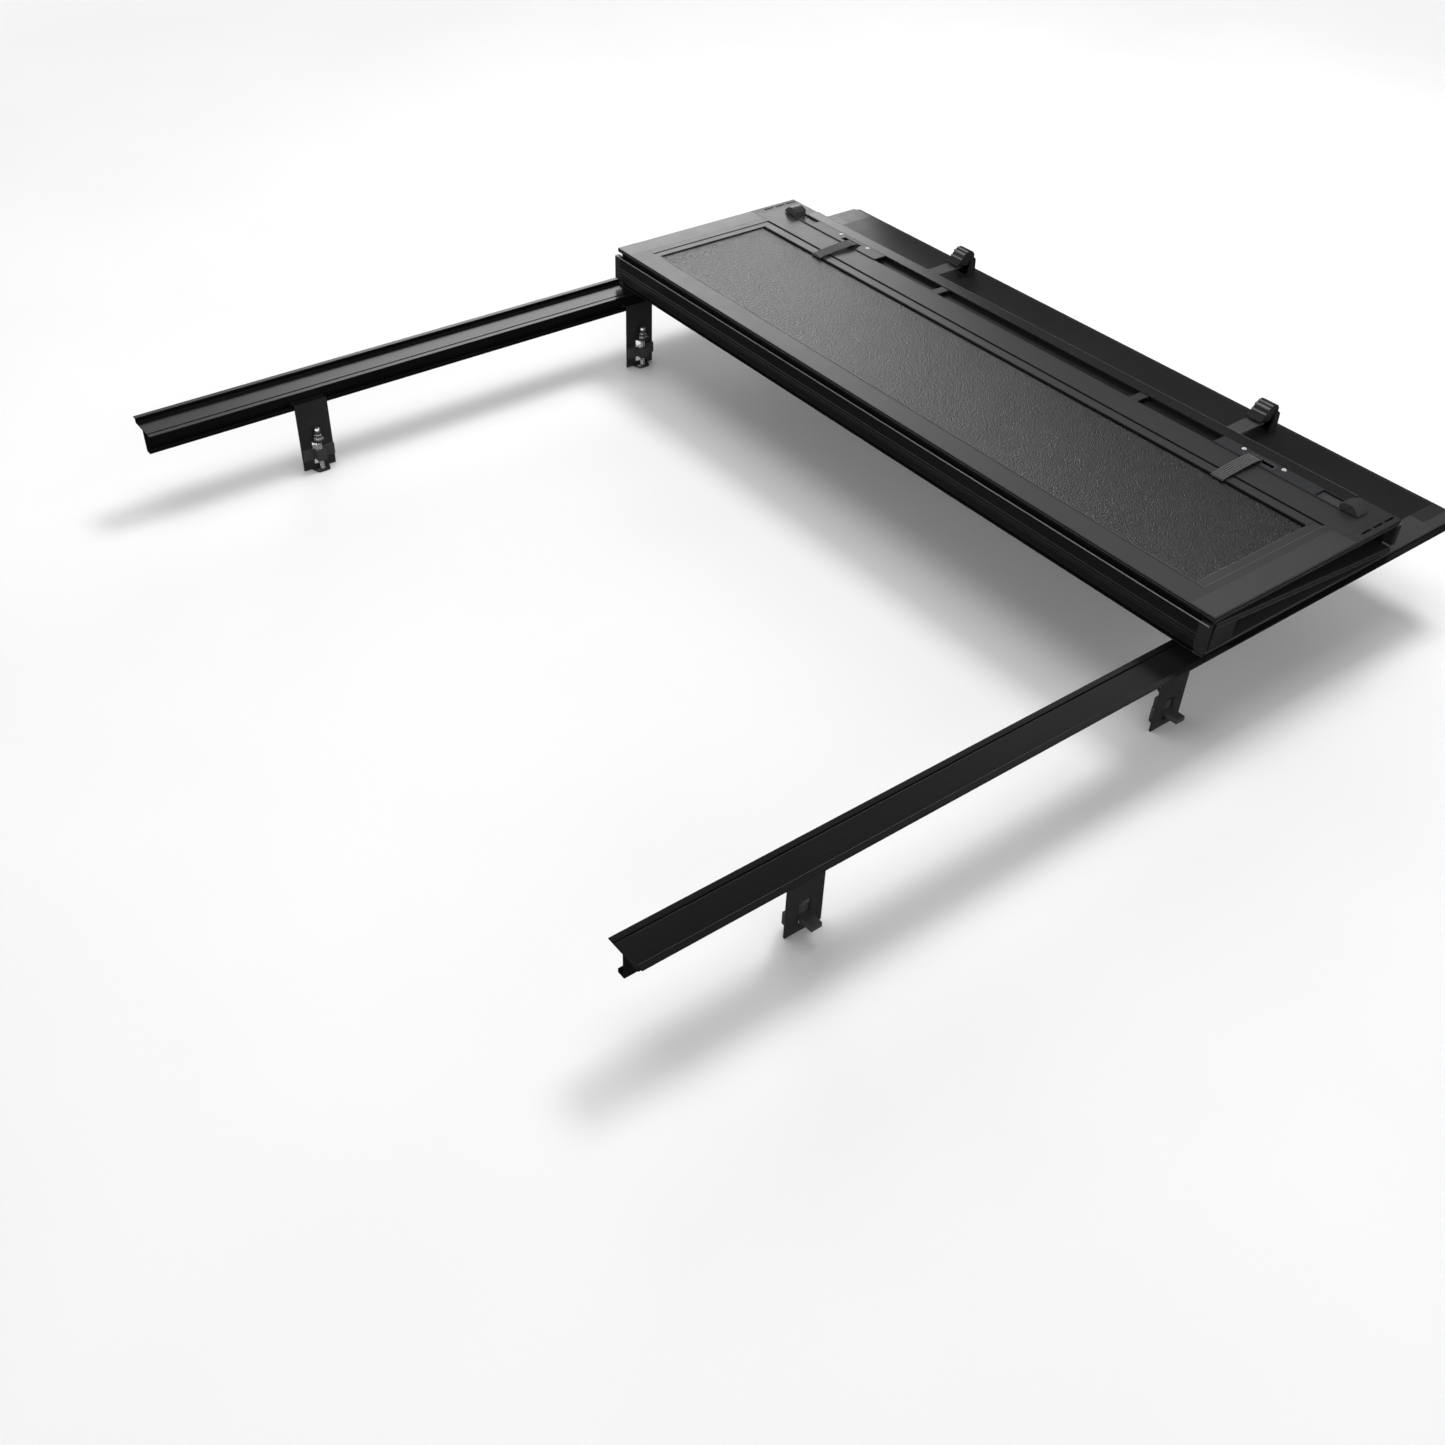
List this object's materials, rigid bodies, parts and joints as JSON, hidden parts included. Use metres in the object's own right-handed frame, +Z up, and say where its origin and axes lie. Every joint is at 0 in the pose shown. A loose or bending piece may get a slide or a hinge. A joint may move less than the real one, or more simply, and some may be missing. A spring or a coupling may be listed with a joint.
{
  "type": "tonneau cover",
  "caption": "Flush-mount tri-fold hard tonneau cover for a short pickup bed, in its stowed state, with hinged panels, slam latches, side rails and rail clamps.",
  "frame": {"origin": "centre of the cover's cab-side seal face, level with the rail-top plane", "axes": "+X to the right side of the bed, +Y towards the cab, +Z up"},
  "size_m": [1.456, 1.574, 0.2428],
  "materials": {
    "frame_black": "satin black powder coat",
    "skin_black": "smooth low-gloss black",
    "grain_board": "pebble-grain matte black",
    "cap_plastic": "moulded satin black",
    "seal_rubber": "matte black rubber",
    "latch_plate": "satin, slightly cool black",
    "bolt_plastic": "semi-gloss black nylon",
    "strap_webbing": "woven grey-black webbing",
    "chrome_screw": "polished",
    "rail_black": "satin black anodised",
    "clip_plastic": "gloss black",
    "tongue_plastic": "matte black",
    "bracket_black": "satin black",
    "zinc_steel": "bright zinc plate"
  },
  "bodies": {
    "rails_and_front_panel": {"front_frame_front": "frame_black", "front_frame_rear": "frame_black", "front_side_frames": "frame_black", "front_top_skin": "skin_black", "front_infill_board": "grain_board", "front_corner_caps": "cap_plastic", "front_side_seals": "seal_rubber", "side_rail_right": "rail_black", "side_rail_left": "rail_black", "bulkhead_seal": "seal_rubber", "front_anchor_clips": "bracket_black", "front_anchor_screws": "chrome_screw", "stow_clip_bases": "clip_plastic", "clamp_brackets": "bracket_black", "clamp_washers": "zinc_steel"},
    "front_link": {"front_hinge_link": "frame_black", "front_hinge_end_caps": "cap_plastic"},
    "folded_pair": {"mid_frame_rear": "frame_black", "mid_frame_front": "frame_black", "mid_side_frames": "frame_black", "mid_top_skin": "skin_black", "mid_infill_board": "grain_board", "mid_corner_caps": "cap_plastic", "mid_side_seals": "seal_rubber", "mid_latch_rail": "frame_black", "mid_channel_clips": "cap_plastic", "rear_frame_front": "frame_black", "rear_frame_rear": "frame_black", "rear_side_frames": "frame_black", "rear_top_skin": "skin_black", "rear_infill_board": "grain_board", "rear_corner_caps": "cap_plastic", "rear_side_seals": "seal_rubber", "rear_edge_seal": "seal_rubber", "rear_hinge_link": "frame_black", "rear_hinge_end_caps": "cap_plastic", "mid_latch_plates": "latch_plate", "mid_latch_screws": "chrome_screw", "mid_pull_straps": "strap_webbing", "rear_latch_plates": "latch_plate", "rear_latch_screws": "chrome_screw", "rear_pull_straps": "strap_webbing"},
    "mid_latch_bolt_right": {"mid_latch_bolt_right": "bolt_plastic"},
    "mid_latch_bolt_left": {"mid_latch_bolt_left": "bolt_plastic"},
    "rear_latch_bolt_right": {"rear_latch_bolt_right": "bolt_plastic"},
    "rear_latch_bolt_left": {"rear_latch_bolt_left": "bolt_plastic"},
    "stow_lever_right": {"stow_clip_lever_right": "clip_plastic", "stow_clip_tongue_right": "tongue_plastic"},
    "stow_lever_left": {"stow_clip_lever_left": "clip_plastic", "stow_clip_tongue_left": "tongue_plastic"},
    "clamp_screw_front_right": {"clamp_screw_front_right": "zinc_steel"},
    "clamp_screw_front_left": {"clamp_screw_front_left": "zinc_steel"},
    "clamp_jaw_front_right": {"clamp_jaw_front_right": "bracket_black"},
    "clamp_jaw_front_left": {"clamp_jaw_front_left": "bracket_black"},
    "clamp_screw_rear_right": {"clamp_screw_rear_right": "zinc_steel"},
    "clamp_screw_rear_left": {"clamp_screw_rear_left": "zinc_steel"},
    "clamp_jaw_rear_right": {"clamp_jaw_rear_right": "bracket_black"},
    "clamp_jaw_rear_left": {"clamp_jaw_rear_left": "bracket_black"}
  },
  "joints": [
    {"name": "front_hinge_lower", "type": "hinge", "parent": "rails_and_front_panel", "child": "front_link", "pos_m": [0, -0.618, 0], "axis": [1, 0, 0], "range_deg": [0, 90]},
    {"name": "front_hinge_upper", "type": "hinge", "parent": "front_link", "child": "folded_pair", "pos_m": [0, -0.618, 0.057], "axis": [1, 0, 0], "range_deg": [0, 90]},
    {"name": "mid_bolt_slide_right", "type": "slide", "parent": "folded_pair", "child": "mid_latch_bolt_right", "axis": [-1, 0, 0], "range_m": [0, 0.018], "stiffness_N_per_m": 350, "springref_m": -0.004},
    {"name": "mid_bolt_slide_left", "type": "slide", "parent": "folded_pair", "child": "mid_latch_bolt_left", "axis": [1, 0, 0], "range_m": [0, 0.018], "stiffness_N_per_m": 350, "springref_m": -0.004},
    {"name": "rear_bolt_slide_right", "type": "slide", "parent": "folded_pair", "child": "rear_latch_bolt_right", "axis": [-1, 0, 0], "range_m": [0, 0.018], "stiffness_N_per_m": 350, "springref_m": -0.004},
    {"name": "rear_bolt_slide_left", "type": "slide", "parent": "folded_pair", "child": "rear_latch_bolt_left", "axis": [1, 0, 0], "range_m": [0, 0.018], "stiffness_N_per_m": 350, "springref_m": -0.004},
    {"name": "stow_lever_right_pivot", "type": "hinge", "parent": "rails_and_front_panel", "child": "stow_lever_right", "pos_m": [0.364, -0.033, 0.036], "axis": [1, 0, 0], "range_deg": [-95, 0]},
    {"name": "stow_lever_left_pivot", "type": "hinge", "parent": "rails_and_front_panel", "child": "stow_lever_left", "pos_m": [-0.364, -0.033, 0.036], "axis": [1, 0, 0], "range_deg": [-95, 0]},
    {"name": "clamp_screw_front_right_turn", "type": "hinge", "parent": "rails_and_front_panel", "child": "clamp_screw_front_right", "pos_m": [0.662, -0.6, -0.1], "axis": [0, 0, 1], "range_deg": [0, 2160]},
    {"name": "clamp_jaw_front_right_lift", "type": "slide", "parent": "rails_and_front_panel", "child": "clamp_jaw_front_right", "axis": [0, 0, 1], "range_m": [-0.0075, 0]},
    {"name": "clamp_screw_front_left_turn", "type": "hinge", "parent": "rails_and_front_panel", "child": "clamp_screw_front_left", "pos_m": [-0.662, -0.6, -0.1], "axis": [0, 0, 1], "range_deg": [0, 2160]},
    {"name": "clamp_jaw_front_left_lift", "type": "slide", "parent": "rails_and_front_panel", "child": "clamp_jaw_front_left", "axis": [0, 0, 1], "range_m": [-0.0075, 0]},
    {"name": "clamp_screw_rear_right_turn", "type": "hinge", "parent": "rails_and_front_panel", "child": "clamp_screw_rear_right", "pos_m": [0.662, -1.29, -0.1], "axis": [0, 0, 1], "range_deg": [0, 2160]},
    {"name": "clamp_jaw_rear_right_lift", "type": "slide", "parent": "rails_and_front_panel", "child": "clamp_jaw_rear_right", "axis": [0, 0, 1], "range_m": [-0.0075, 0]},
    {"name": "clamp_screw_rear_left_turn", "type": "hinge", "parent": "rails_and_front_panel", "child": "clamp_screw_rear_left", "pos_m": [-0.662, -1.29, -0.1], "axis": [0, 0, 1], "range_deg": [0, 2160]},
    {"name": "clamp_jaw_rear_left_lift", "type": "slide", "parent": "rails_and_front_panel", "child": "clamp_jaw_rear_left", "axis": [0, 0, 1], "range_m": [-0.0075, 0]}
  ],
  "couplings": [
    {"joint": "clamp_screw_front_right_turn", "follows": "clamp_jaw_front_right_lift", "rad_per_m": -5026.5},
    {"joint": "clamp_screw_front_left_turn", "follows": "clamp_jaw_front_left_lift", "rad_per_m": -5026.5},
    {"joint": "clamp_screw_rear_right_turn", "follows": "clamp_jaw_rear_right_lift", "rad_per_m": -5026.5},
    {"joint": "clamp_screw_rear_left_turn", "follows": "clamp_jaw_rear_left_lift", "rad_per_m": -5026.5}
  ]
}
